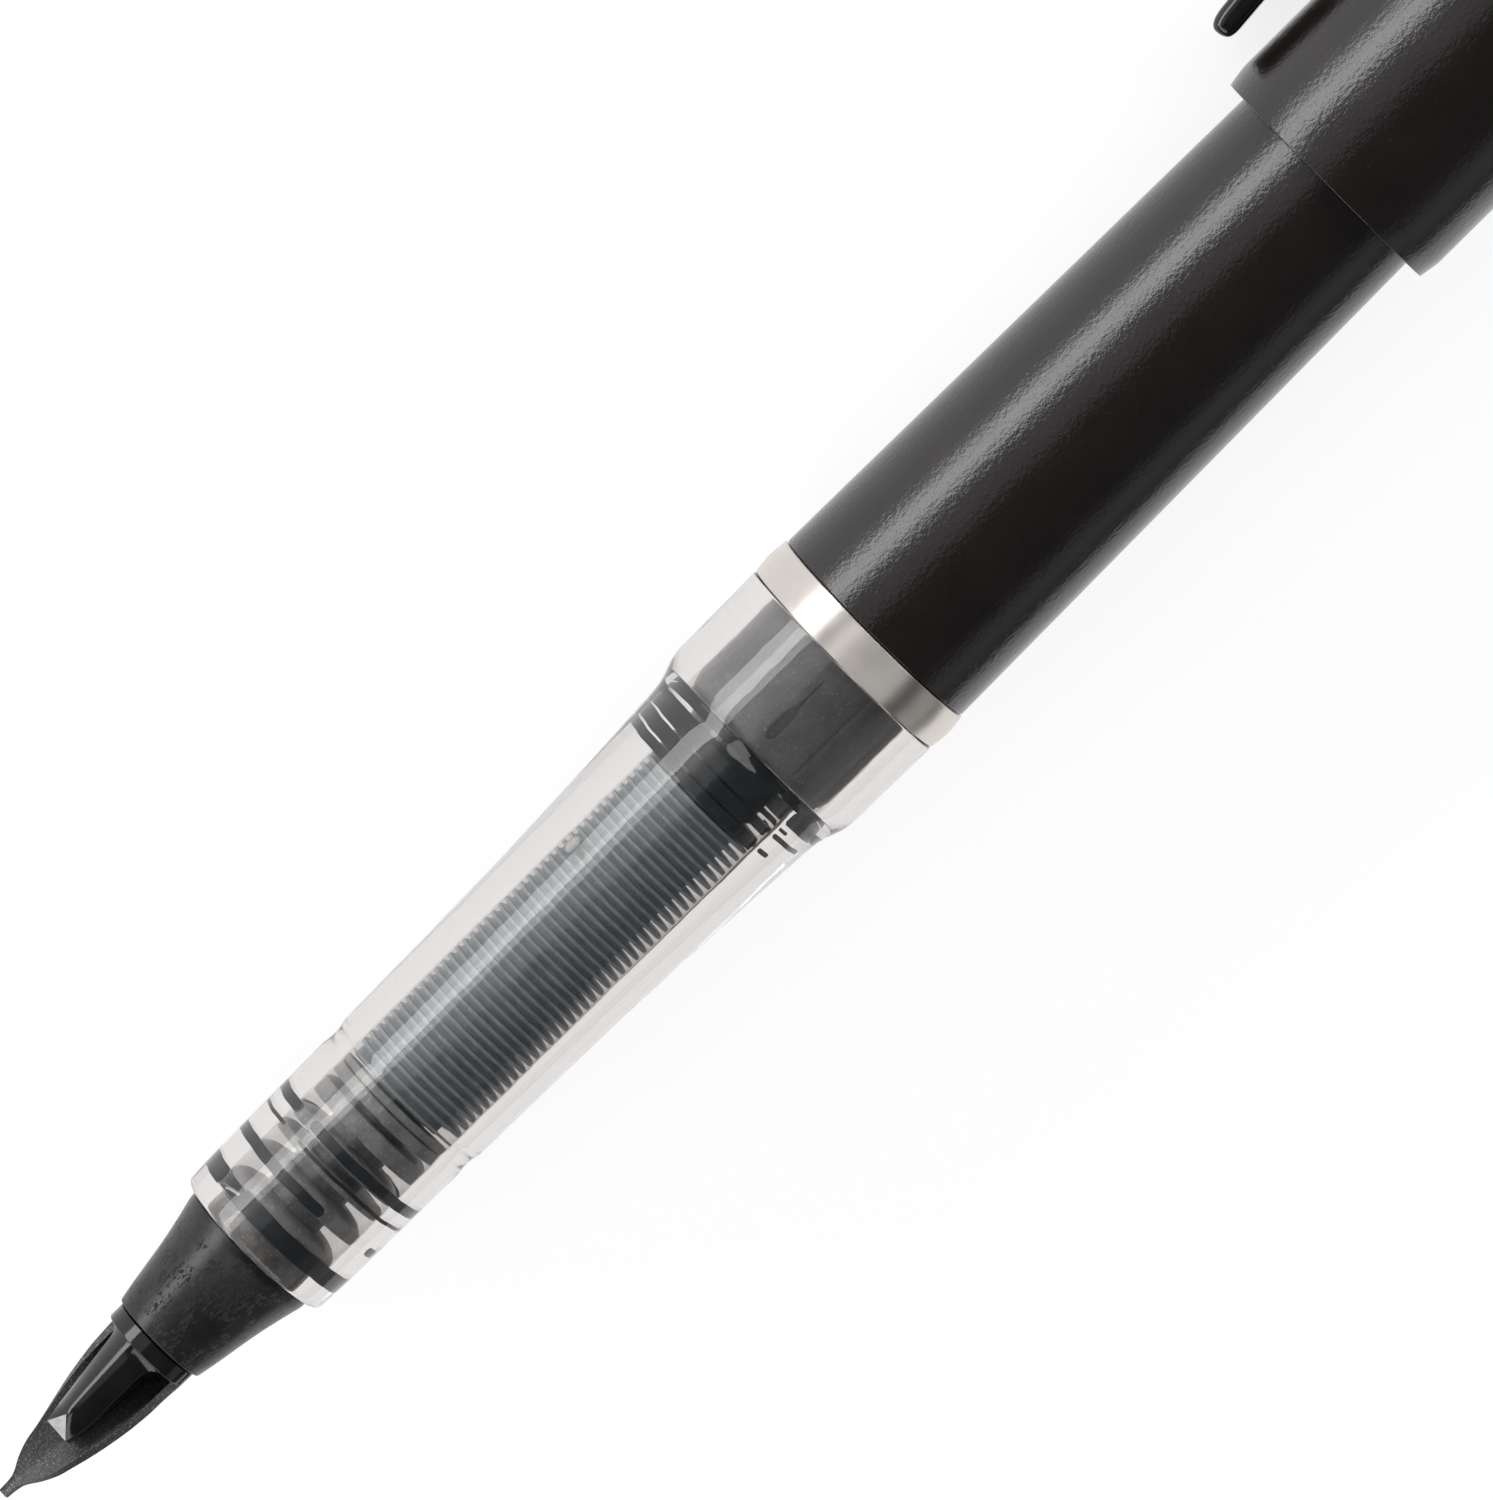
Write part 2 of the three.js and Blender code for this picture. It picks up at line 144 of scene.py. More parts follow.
def faired(points, steps=6):
    """A smooth curve through points of rising first value, which never swings past them."""
    slopes = [(q[1] - p[1]) / (q[0] - p[0]) for p, q in zip(points, points[1:])]
    inner = [2 * a * b / (a + b) if a * b > 0 else 0.0 for a, b in zip(slopes, slopes[1:])]
    tangents = [slopes[0], *inner, slopes[-1]]
    curve = []
    for i, (p, q) in enumerate(zip(points, points[1:])):
        run = q[0] - p[0]
        for k in range(steps):
            t = k / steps
            rise = (p[1] * (1 + 2 * t) * (1 - t) ** 2 + q[1] * t * t * (3 - 2 * t)
                    + run * tangents[i] * t * (1 - t) ** 2 - run * tangents[i + 1] * t * t * (1 - t))
            curve.append((p[0] + run * t, rise))
    return [*curve, tuple(points[-1])]


def faired_at(points, along):
    """The value of the smooth curve through points at one place along it."""
    curve = faired(points, 12)
    for p, q in zip(curve, curve[1:]):
        if along <= q[0]:
            share = (along - p[0]) / (q[0] - p[0])
            return p[1] + (q[1] - p[1]) * max(0.0, share)
    return curve[-1][1]


def stations_at(curves, along):
    """The values at one place of each of several named curves, in their order."""
    return [faired_at(points, along) for points in curves.values()]


def bezier(start, control, end, steps):
    """Points of a curve from start to end, without start."""
    points = []
    for k in range(1, steps + 1):
        t = k / steps
        points.append(Vector(start) * (1 - t) ** 2 + Vector(control) * 2 * t * (1 - t) + Vector(end) * t * t)
    return points


# Meshes

def swept(section_at, start=0.0, end=360.0, steps=STEPS):
    """A closed section of (along, radius) points carried round the pen's axis, as vertices and faces."""
    whole = end - start >= 360
    angles = [start + (end - start) * k / steps for k in range(steps if whole else steps + 1)]
    vertices = []
    for angle in angles:
        turn = math.radians(angle)
        vertices += [(x, r * math.sin(turn), r * math.cos(turn)) for x, r in section_at(angle)]
    return vertices, ring_faces(len(vertices) // len(angles), len(angles), whole)


def ring_faces(count, rings, whole):
    """Faces that join rings of count points, into a loop of rings or with both ends closed."""
    faces = []
    for ring in range(rings if whole else rings - 1):
        first, second = ring * count, (ring + 1) % rings * count
        for k in range(count):
            n = (k + 1) % count
            faces.append((first + k, first + n, second + n, second + k))
    if not whole:
        faces.append(tuple(range(count)))
        faces.append(tuple(range((rings - 1) * count, rings * count))[::-1])
    return faces


def turned(outline, steps=STEPS):
    """An outline turned round the pen's axis."""
    points = [tuple(p) for p in outline]
    return swept(lambda angle: points, steps=steps)


def together(*shapes):
    """Several (vertices, faces) shapes as one."""
    vertices, faces = [], []
    for more_vertices, more_faces in shapes:
        faces += [tuple(i + len(vertices) for i in face) for face in more_faces]
        vertices += more_vertices
    return vertices, faces


def piece(name, shape, finish, node=None, body=None, place=PEN, sharp=38):
    """A visible piece, which stands for the CAD node named or rides on the body named."""
    vertices, faces = shape
    mesh = bpy.data.meshes.new(name)
    mesh.from_pydata([place @ (Vector(v) * MM) for v in vertices], [], faces)
    work = bmesh.new()
    work.from_mesh(mesh)
    bmesh.ops.remove_doubles(work, verts=work.verts, dist=0.0005 * MM)
    bmesh.ops.dissolve_degenerate(work, edges=work.edges, dist=0.0002 * MM)
    bmesh.ops.recalc_face_normals(work, faces=work.faces)
    work.to_mesh(mesh)
    work.free()
    mesh.polygons.foreach_set("use_smooth", [True] * len(mesh.polygons))
    mesh.set_sharp_from_angle(angle=math.radians(sharp))
    mesh.materials.append(finish)
    obj = bpy.data.objects.new(name, mesh)
    bpy.context.scene.collection.objects.link(obj)
    normals = obj.modifiers.new("even shading", "WEIGHTED_NORMAL")
    normals.keep_sharp = True
    if node:
        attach(obj, frame["nodes"][node]["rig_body"])
        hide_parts(node)
    else:
        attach(obj, body)
    return obj


def bevel_edges(obj, width, angle, segments):
    """Bevels the edges sharper than an angle, before the shading is evened."""
    bevel = obj.modifiers.new("soft edges", "BEVEL")
    bevel.width = width * MM
    bevel.segments = segments
    bevel.limit_method = "ANGLE"
    bevel.angle_limit = math.radians(angle)
    obj.modifiers.move(len(obj.modifiers) - 1, 0)


# Finishes

class Finish:
    """A material whose patterns are in the pen's millimetres."""

    def __init__(self, name, roughness=0.5, **sockets):
        self.material = bpy.data.materials.new(name)
        self.material.use_nodes = True
        self.nodes = self.material.node_tree.nodes
        self.links = self.material.node_tree.links
        self.shader = self.nodes["Principled BSDF"]
        self.shader.inputs["Roughness"].default_value = roughness
        for socket, value in sockets.items():
            self.shader.inputs[socket.replace("_", " ")].default_value = value
        self.place = self.pen_axes()
        self.normal = None

    def pen_axes(self):
        """The surface's place in the pen's axes, in millimetres."""
        here = self.nodes.new("ShaderNodeTexCoord").outputs["Object"]
        mapping = self.add("ShaderNodeMapping", Vector=here, Location=PEN.translation,
                           Rotation=PEN.to_euler(), Scale=(MM, MM, MM))
        mapping.vector_type = "TEXTURE"
        return mapping.outputs["Vector"]

    def add(self, kind, **inputs):
        """A node with its inputs set or linked."""
        node = self.nodes.new(kind)
        for socket, value in inputs.items():
            self.feed(node.inputs[socket.replace("_", " ")], value)
        return node

    def feed(self, socket, value):
        if isinstance(value, bpy.types.NodeSocket):
            self.links.new(value, socket)
        else:
            socket.default_value = value

    def coordinates(self, stretch):
        mapping = self.add("ShaderNodeMapping", Vector=self.place)
        mapping.inputs["Scale"].default_value = stretch
        return mapping.outputs["Vector"]

    def noise(self, scale, detail=3.0, rough=0.55, stretch=(1, 1, 1)):
        """Noise of scale features to a millimetre."""
        node = self.add("ShaderNodeTexNoise", Vector=self.coordinates(stretch), Scale=scale, Detail=detail,
                        Roughness=rough)
        return node.outputs["Fac"]

    def cells(self, scale):
        """The distance to the nearest of scattered points, scale of them to a millimetre."""
        return self.add("ShaderNodeTexVoronoi", Vector=self.place, Scale=scale).outputs["Distance"]

    def between(self, value, low, high, to_low=0.0, to_high=1.0):
        """The value's rise from low to high, eased into one from to_low to to_high."""
        node = self.add("ShaderNodeMapRange", Value=value)
        node.interpolation_type = "SMOOTHSTEP"
        for socket, number in zip(("From Min", "From Max", "To Min", "To Max"), (low, high, to_low, to_high)):
            node.inputs[socket].default_value = number
        return node.outputs["Result"]

    def maths(self, operation, a, b):
        node = self.nodes.new("ShaderNodeMath")
        node.operation = operation
        self.feed(node.inputs[0], a)
        self.feed(node.inputs[1], b)
        return node.outputs["Value"]

    def blend(self, factor, a, b):
        """Colour a where the factor is 0 and colour b where it is 1."""
        node = self.nodes.new("ShaderNodeMix")
        node.data_type = "RGBA"
        self.feed(node.inputs["Factor"], factor)
        for socket, value in (("A", a), ("B", b)):
            target = [s for s in node.inputs if s.name == socket and s.type == "RGBA"][0]
            self.feed(target, value if isinstance(value, bpy.types.NodeSocket) else (*value, 1.0))
        return [s for s in node.outputs if s.type == "RGBA"][0]

    def colour(self, value):
        self.feed(self.shader.inputs["Base Color"], value)

    def roughness(self, value):
        self.feed(self.shader.inputs["Roughness"], value)

    def bump(self, height, depth):
        """Relief of depth millimetres, on top of any relief added before."""
        node = self.add("ShaderNodeBump", Height=height, Distance=depth * MM, Strength=1.0)
        if self.normal is not None:
            self.feed(node.inputs["Normal"], self.normal)
        self.normal = node.outputs["Normal"]
        self.feed(self.shader.inputs["Normal"], self.normal)


def textured_black():
    """Black plastic from a sparked mould: a fine leathery grain, with dust and rubbed high spots."""
    finish = Finish("textured black plastic", Specular_IOR_Level=0.62)
    patches = finish.noise(0.35, 4.0)
    grain = finish.noise(4.4, 3.0, 0.6, (0.8, 1, 1))
    dust = finish.between(finish.cells(1.1), 0.035, 0.012)
    base = finish.blend(finish.between(patches, 0.35, 0.7), (0.0068, 0.0052, 0.0047), (0.0085, 0.0066, 0.006))
    rubbed = finish.blend(finish.between(grain, 0.6, 0.8), base, (0.015, 0.0125, 0.0115))
    finish.colour(finish.blend(dust, rubbed, (0.1, 0.095, 0.09)))
    finish.roughness(finish.between(patches, 0.3, 0.7, 0.17, 0.2))
    finish.bump(grain, 0.025)
    return finish.material


def soft_black():
    """The nib housing's satin black plastic, with smears and pits of dried ink."""
    finish = Finish("satin black plastic", Specular_IOR_Level=0.4)
    smear = finish.noise(1.3, 5.0, 0.65, (0.6, 1, 1))
    crust = finish.between(finish.noise(0.55, 3.0), 0.42, 0.6)
    pits = finish.between(finish.noise(4.5, 5.0, 0.75, (0.7, 1.4, 1.4)), 0.52, 0.66)
    speckle = finish.maths("MULTIPLY", crust, pits)
    base = finish.blend(finish.between(smear, 0.35, 0.65), (0.007, 0.006, 0.006), (0.013, 0.0115, 0.011))
    finish.colour(finish.blend(speckle, base, (0.002, 0.002, 0.002)))
    finish.roughness(finish.between(speckle, 0.0, 1.0, 0.3, 0.5))
    finish.bump(speckle, 0.05)
    finish.bump(finish.noise(9.0, 3.0), 0.006)
    return finish.material


def gloss_black():
    """Glossy black plastic with faint flow marks and hairline scratches."""
    finish = Finish("glossy black plastic")
    flow = finish.noise(0.8, 3.0)
    scratches = finish.between(finish.noise(4.0, 4.0, 0.7, (0.12, 1.5, 1.5)), 0.66, 0.76)
    tone = finish.between(flow, 0.3, 0.7)
    finish.colour(finish.blend(tone, (0.004, 0.004, 0.004), (0.008, 0.0078, 0.0075)))
    finish.roughness(finish.between(scratches, 0.0, 1.0, 0.1, 0.28))
    finish.bump(flow, 0.01)
    finish.bump(scratches, 0.0012)
    return finish.material


def painted_reflection_grey():
    """A pale, matt grey: a painted reflection of a lamp on glossy black plastic."""
    finish = Finish("facet painted reflection", roughness=0.5)
    mottle = finish.noise(3.0, 3.0, 0.6)
    # Painted reflection: the facet's pale grey stands in for a lamp mirrored in glossy black
    finish.colour(finish.blend(finish.between(mottle, 0.3, 0.7), (0.30, 0.285, 0.29), (0.42, 0.40, 0.405)))
    finish.bump(mottle, 0.01)
    return finish.material


def nib_plastic():
    """Dark grey moulded plastic with a grain, and small bright specks painted in as glints."""
    finish = Finish("grainy grey plastic")
    grain = finish.noise(6.5, 4.0, 0.7)
    tone = finish.noise(0.9, 3.0)
    # Painted glints: small bright specks in the colour
    painted_glints = finish.between(finish.noise(13.0, 1.0, 0.5), 0.64, 0.72)
    base = finish.blend(finish.between(tone, 0.3, 0.7), (0.02, 0.02, 0.02), (0.036, 0.034, 0.033))
    grey = finish.blend(finish.between(grain, 0.48, 0.68), base, (0.085, 0.081, 0.078))
    finish.colour(finish.blend(painted_glints, grey, (0.2, 0.195, 0.19)))
    finish.roughness(finish.between(grain, 0.4, 0.7, 0.55, 0.38))
    finish.bump(grain, 0.04)
    return finish.material


def clear_plastic():
    """Clear moulded plastic, a little uneven, with hairline scratches."""
    finish = Finish("clear plastic", Transmission_Weight=1.0, IOR=1.49)
    scratches = finish.between(finish.noise(5.0, 4.0, 0.75, (0.1, 1.6, 1.6)), 0.66, 0.74)
    finish.colour(finish.blend(finish.noise(0.5, 2.0), (0.76, 0.738, 0.725), (0.74, 0.718, 0.705)))
    finish.roughness(finish.between(scratches, 0.0, 1.0, 0.02, 0.12))
    finish.bump(finish.noise(0.55, 2.0), 0.012)
    finish.bump(scratches, 0.0008)
    return finish.material


def collector_plastic(name, dry, wet, roughness=0.42):
    """Grey plastic with an uneven film of ink on it."""
    finish = Finish(name)
    film = finish.noise(0.9, 5.0, 0.6, (0.7, 1, 1))
    grain = finish.noise(7.0, 3.0)
    bubbles = finish.between(finish.cells(2.2), 0.09, 0.05)
    base = finish.blend(finish.between(film, 0.38, 0.62), wet, dry)
    tinted = finish.blend(finish.between(grain, 0.55, 0.75), base, [min(1.0, c * 1.35) for c in dry])
    finish.colour(finish.blend(bubbles, tinted, [min(1.0, c * 1.9) for c in dry]))
    finish.roughness(finish.between(film, 0.35, 0.65, roughness - 0.12, roughness + 0.1))
    finish.bump(grain, 0.012)
    return finish.material


def ink_film():
    """Ink that wets the inside of the clear section: blue-black, with tiny bubbles."""
    finish = Finish("ink film", roughness=0.3)
    cloud = finish.noise(1.2, 4.0)
    bubbles = finish.between(finish.cells(2.6), 0.06, 0.035)
    base = finish.blend(finish.between(cloud, 0.35, 0.7), (0.013, 0.017, 0.0215), (0.025, 0.033, 0.04))
    finish.colour(finish.blend(bubbles, base, (0.25, 0.26, 0.27)))
    finish.bump(cloud, 0.01)
    return finish.material


def bright_metal():
    """Polished, warm plated metal with fine lines round the pen."""
    finish = Finish("bright metal", Metallic=1.0, Anisotropic=1.0, Anisotropic_Rotation=0.25)
    around = finish.add("ShaderNodeTangent")
    around.direction_type = "RADIAL"
    around.axis = "X"
    finish.feed(finish.shader.inputs["Tangent"], around.outputs["Tangent"])
    lines = finish.noise(14.0, 3.0, 0.6, (1, 0.02, 0.02))
    bloom = finish.noise(0.5, 3.0)
    finish.colour(finish.blend(finish.between(bloom, 0.3, 0.7), (0.70, 0.655, 0.615), (0.78, 0.735, 0.69)))
    finish.roughness(finish.between(bloom, 0.3, 0.7, 0.37, 0.43))
    finish.bump(lines, 0.004)
    return finish.material


def fibre():
    """Felted fibre soaked with ink, drawn out along the pen."""
    finish = Finish("inked fibre", roughness=0.9)
    strands = finish.noise(6.0, 4.0, 0.6, (0.15, 1, 1))
    tone = finish.between(strands, 0.35, 0.65)
    finish.colour(finish.blend(tone, (0.01, 0.011, 0.013), (0.07, 0.072, 0.075)))
    finish.bump(strands, 0.05)
    return finish.material


def tank_plastic():
    """Milky clear plastic."""
    finish = Finish("milky plastic", Transmission_Weight=0.85, IOR=1.5)
    haze = finish.noise(0.6, 3.0)
    finish.colour(finish.blend(finish.between(haze, 0.3, 0.7), (0.86, 0.88, 0.88), (0.74, 0.77, 0.78)))
    finish.roughness(finish.between(haze, 0.3, 0.7, 0.18, 0.32))
    finish.bump(haze, 0.02)
    return finish.material


def ball_plastic():
    """The seal ball's off-white plastic, stained by ink."""
    finish = Finish("off-white plastic", roughness=0.3)
    stain = finish.noise(0.8, 4.0)
    finish.colour(finish.blend(finish.between(stain, 0.45, 0.62), (0.66, 0.65, 0.62), (0.18, 0.19, 0.2)))
    finish.bump(finish.noise(6.0), 0.006)
    return finish.material


def liquid_ink():
    """Black ink in the tank."""
    finish = Finish("black ink", roughness=0.06)
    cloud = finish.noise(0.6, 3.0)
    finish.colour(finish.blend(cloud, (0.002, 0.002, 0.003), (0.006, 0.006, 0.008)))
    finish.bump(cloud, 0.01)
    return finish.material


# Nib and feed

# The nib's half width, how far the outside of its middle and of its edges lies below the axis, and how
# thick it is, each as (place along the pen, value).
NIB_STATIONS = {
    "half": [(-0.2, 0.23), (0.3, 0.27), (0.7, 0.34), (1.0, 0.47), (1.5, 0.8), (2.0, 1.07), (2.5, 1.28),
             (3.0, 1.42), (4.0, 1.69), (5.0, 1.93), (6.0, 2.14), (7.0, 2.3), (8.2, 2.42), (10.0, 2.46),
             (13.1, 2.46)],
    "middle": [(-0.2, 0.34), (0.85, 0.44), (1.6, 0.56), (2.6, 0.76), (4.1, 0.95), (6.5, 1.28), (8.2, 1.8),
               (10.0, 2.3), (13.1, 2.36)],
    "edge": [(-0.2, 0.3), (0.85, 0.36), (1.6, 0.42), (2.6, 0.48), (4.1, 0.48), (6.5, 0.36), (8.2, 0.22),
             (10.0, 0.1), (13.1, 0.1)],
    "thick": [(-0.2, 0.36), (0.85, 0.38), (1.6, 0.4), (2.6, 0.42), (13.1, 0.42)],
}


def nib_ring(along):
    """A section of the nib: an arch with a slit on its outside and a crease inside."""
    half, middle, edge, thick = stations_at(NIB_STATIONS, along)
    rise = middle - edge
    radius = (half * half + rise * rise) / (2 * rise)
    reach = math.atan2(half, radius - rise)
    lean = min(1.0, along / UPRIGHT_TO)
    crease = CREASE["depth"] * min(1.0, max(0.0, along - CREASE["from"]) / CREASE["fade"])
    outer, inner = [], []
    for k in range(NIB_ACROSS + 1):
        share = 2 * k / NIB_ACROSS - 1
        angle = reach * share
        y, z = radius * math.sin(angle), radius * (1 - math.cos(angle)) - middle
        slit = SLIT["depth"] if k == NIB_ACROSS // 2 and SLIT["from"] < along < SLIT["to"] else 0.0
        outer.append((along, y, z + slit))
        depth = thick - crease * (1 - abs(share)) ** 2
        inner.append((along, y - math.sin(angle * lean) * depth, z + math.cos(angle * lean) * depth))
    return [*outer, *inner[::-1]]


def nib():
    stations = [-0.2, -0.16, -0.08, *(0.03 + 0.13 * k for k in range(92)), 12.1, NIB_TO]
    rings = [nib_ring(s) for s in stations]
    shape = (sum(rings, []), ring_faces(len(rings[0]), len(rings), False))
    obj = piece("nib_arch", shape, nib_finish, node="nib", place=NIB, sharp=30)
    bevel_edges(obj, 0.035, 50, 2)


# The feed's keel: half width, height of its ridge and shoulders, and depth into the nib's trough, likewise.
KEEL = {
    "half": [(3.98, 0.75), (5.06, 0.98), (7.2, 1.15), (9.1, 1.31), (9.45, 1.45), (9.7, 1.72), (9.9, 2.1)],
    "ridge": [(3.98, 0.85), (5.06, 1.49), (7.2, 1.82), (9.1, 2.08), (9.5, 2.15), (9.9, 2.25)],
    "shoulder": [(3.98, 0.85), (5.06, 0.78), (7.2, 1.1), (9.1, 1.36), (9.5, 1.3), (9.9, 1.0)],
    "depth": [(3.98, 0.3), (5.06, 0.42), (7.2, 0.7), (9.2, 1.25), (9.9, 1.4)],
}
KEEL_FLANK = (0.0, 0.12, 0.26, 0.42, 0.62, 0.82, 1.0)   # places across half of the keel's top
KEEL_FRONT = (0.0, 1.0, 1.0, 1.0, 1.0, 1.0, 1.0)        # a flat facet starts from a straight front edge


def keel_ring(along, flank):
    """A section of the keel: a curved roof, with points at the flank's places, over a narrower foot."""
    half, ridge, shoulder, depth = stations_at(KEEL, along)
    top = [(half * share, ridge - (ridge - shoulder) * share ** 2) for share in flank]
    side = [*top[1:], (half, 0.25), (half * 0.5, -depth)]
    outline = [top[0], *side, *((-y, z) for y, z in side[::-1])]
    return [(along, y, z) for y, z in outline]


def feed():
    stations = [FACET["to"], 5.4, 6.0, 6.6, 7.2, 7.8, 8.4, 8.8, 9.1, 9.25, 9.4, 9.5, 9.6, 9.7, 9.8, 9.9]
    rings = [keel_ring(FACET["from"], KEEL_FRONT), *(keel_ring(s, KEEL_FLANK) for s in stations)]
    keel = (sum(rings, []), ring_faces(len(rings[0]), len(rings), False))
    obj = piece("feed_keel", keel, gloss_black_finish, node="feed", place=NIB, sharp=40)
    bevel_edges(obj, 0.03, 34, 2)
    facet_reflection_skin()
    c = FEED_COLLAR
    band = rounded([
        (c["from"], c["inner"]), (c["from"], c["radius"], 0.12), (c["to"], c["radius"], 0.04),
        (c["to"], c["inner"]),
    ])
    collar = swept(lambda angle: band, -c["half_turn"], c["half_turn"], 72)
    piece("feed_collar", collar, gloss_black_finish, body="section", place=NIB)
    s = FEED_STEM
    stem = rounded([
        (s["from"], 0.0), (s["from"], s["front"]), (s["wick"], s["front"]), (s["wick"], WICK_BORE),
        (s["step"], WICK_BORE), (s["step"], s["rear"], 0.1), (s["to"], s["rear"], 0.1), (s["to"], 0.0),
    ])
    piece("feed_stem", turned(stem, 48), gloss_black_finish, body="section", place=NIB)


def facet_reflection_skin():
    """The keel's front facet, with a painted reflection: a thin pale grey skin over it."""
    corners = [Vector((4.0, -0.72, 0.862)), Vector((4.0, 0.72, 0.862)), Vector((5.0, 0.0, 1.455))]
    out = (corners[1] - corners[0]).cross(corners[2] - corners[0]).normalized()
    if out.z < 0:
        out = -out
    vertices = [corner + out * FACET["skin"] for corner in corners]
    vertices += [corner - out * FACET["root"] for corner in corners]
    shape = (vertices, ring_faces(3, 2, False))
    piece("feed_facet", shape, facet_finish, body="section", place=NIB)


def nib_housing():
    h = HOUSING
    cone = faired([(10.9, 2.69), (11.7, 2.84), (13.0, 3.05), (14.2, 3.25), (15.4, 3.5), (16.4, 3.74)])
    outline = rounded([
        (h["from"], h["mouth"], 0.03), (h["from"], h["front"], 0.06), *cone, (16.75, 3.83, 0.2),
        (h["shoulder"], h["rim"], 0.06), (h["shoulder"], h["spigot"]), (h["to"], h["spigot"], 0.12),
        (h["to"], h["bore"]), (h["nib_stop"], h["bore"]), (h["nib_stop"], h["mouth"]),
    ])
    piece("housing_cone", turned(outline), soft_black_finish, node="nib_housing")
    # The spigot is the cone's black plastic; the lighter grey sleeve over it is painted light, for how it
    # shows through the clear section.
    s = SPIGOT_SLEEVE
    sleeve = rounded([
        (s["from"], s["inner"]), (s["from"], s["radius"]),
        (s["to"], s["radius"], 0.06), (s["to"], s["inner"]),
    ])
    piece("housing_spigot", turned(sleeve), spigot_painted_light_finish, body="section")


# Grip section

def grip_section():
    skin = faired([
        (18.1, 4.51), (19.5, 4.555), (23.0, 4.59), (26.7, 4.625), (27.2, 4.575), (27.6, 4.56), (27.95, 4.6),
        (28.4, 4.69), (31.0, 4.73), (34.2, 4.785), (39.1, 4.9), (44.0, 5.1), (48.9, 5.35), (50.6, 5.46),
        (51.2, 5.58), (51.8, 5.79), (52.3, 5.94), (52.9, 6.01), (55.0, 6.04),
    ])
    s, n = SECTION, NECK
    outline = rounded([
        (s["from"], s["hole"], 0.06), (s["from"], s["rim"], 0.72), *skin, (s["shoulder"], s["collar"], 0.12),
        (s["shoulder"], n["root"], 0.1), (s["to"], n["root"], 0.25), (s["to"], n["inner"]),
        (s["counterbore"], n["inner"], 0.05), (s["counterbore"], SECTION_BORE, 0.05),
        (s["front"], SECTION_BORE, 0.05), (s["front"], s["hole"], 0.05),
    ])
    piece("grip_shell", turned(outline, 200), clear_finish, node="grip_section")
    ridge = thread(n["thread_from"], n["thread_to"])
    piece("grip_thread", ridge, clear_finish, body="section")


def thread(start, end):
    """The neck's thread: a tapered ridge that winds round it, run out to nothing at both ends."""
    pitch, root, crest = NECK["pitch"], NECK["root"] - THREAD["sunk"], NECK["crest"]
    steps, foot, flat = THREAD["steps"], THREAD["foot"], THREAD["flat"]
    count = round((end - start) / pitch * steps)
    vertices = []
    for k in range(count + 1):
        turn = 2 * math.pi * k / steps
        fade = min(1.0, k / steps * THREAD["lead"], (count - k) / steps * THREAD["lead"])
        height = root + 0.005 + (crest - root) * fade
        middle = start + pitch * k / steps
        for offset, radius in ((-foot, root), (-flat, height), (flat, height), (foot, root)):
            vertices.append((middle + offset, -radius * math.sin(turn), radius * math.cos(turn)))
    return vertices, ring_faces(4, count + 1, False)


def bubble_mark():
    """A small lens of air left in the clear wall beside the collector, drawn as a solid near-white lens whose
    white is a painted reflection.
    """
    b = BUBBLE
    lean = Matrix.Rotation(-math.radians(b["angle"]), 3, "X")
    vertices = []
    rings, around = 7, 20
    for i in range(rings):
        polar = math.pi * (i + 0.5) / rings
        for k in range(around):
            turn = 2 * math.pi * k / around
            along = b["long"] * math.sin(polar) * math.cos(turn)
            across = b["wide"] * math.sin(polar) * math.sin(turn)
            out = b["from_axis"] + b["deep"] * math.cos(polar)
            vertices.append(Vector((b["at"], 0, 0)) + lean @ Vector((along, across, out)))
    shape = (vertices, ring_faces(around, rings, False))
    piece("grip_bubble", shape, bubble_reflection_finish, body="section")


# Collector

# The collector's discs, as (from, to, height of the domed rear, notches in the rim), and each notch as
# (angle, half width in degrees, radius of its floor).
FRONT_DISCS = [
    (19.25, 20.05, 0.6, []),
    (20.8, 21.8, 0.5, []),
    (22.45, 22.95, 0.0, [(180, 70, 2.6)]),
    (23.5, 24.35, 0.4, []),
    (25.0, 25.95, 0.0, []),
    (26.35, 26.95, 0.0, []),
    (27.05, 27.5, 0.0, []),
]
REAR_NOTCH = (-52, 11, 2.5)
REAR_DISCS = [
    (48.4, 49.1, 0.0, [REAR_NOTCH]),
    (49.4, 49.9, 0.0, [REAR_NOTCH]),
    (50.2, 50.5, 0.0, [REAR_NOTCH]),
    (50.7, 52.0, 0.0, []),
]


def disc(start, end, dome, notches):
    """A disc with rounded notches in its rim, and a flat or a domed rear."""
    rim = COLLECTOR["disc"]
    soft = min(COLLECTOR["soft"], (end - start) / 4)

    def section(angle):
        reach = rim
        for at, half, floor in notches:
            away = abs((angle - at + 180) % 360 - 180)
            dip = max(0.0, 1 - (away / half) ** 4)
            reach = min(reach, rim - (rim - floor) * dip)
        front = [(start, WICK_BORE), (start, reach - soft), (start + soft, reach)]
        if not dome:
            return [*front, (end - soft, reach), (end, reach - soft), (end, WICK_BORE)]
        fall = max(0.0, reach - COLLECTOR["dome_foot"])
        curve = [math.radians(a) for a in (0, 22, 45, 68, 90)]
        rear = [(end - dome * (1 - math.sin(a)), reach - fall * (1 - math.cos(a))) for a in curve]
        return [*front, *rear, (end, WICK_BORE)]

    return swept(section, steps=180)


def core(start, end, radius, flat=math.inf):
    """A core with a hole for the wick, cut flat at a given distance on the side away from the clip."""
    def section(angle):
        across = -math.sin(math.radians(angle))
        reach = min(radius, flat / across) if across > 0 else radius
        return [(start, WICK_BORE), (start, reach), (end, reach), (end, WICK_BORE)]

    return swept(section, steps=180)


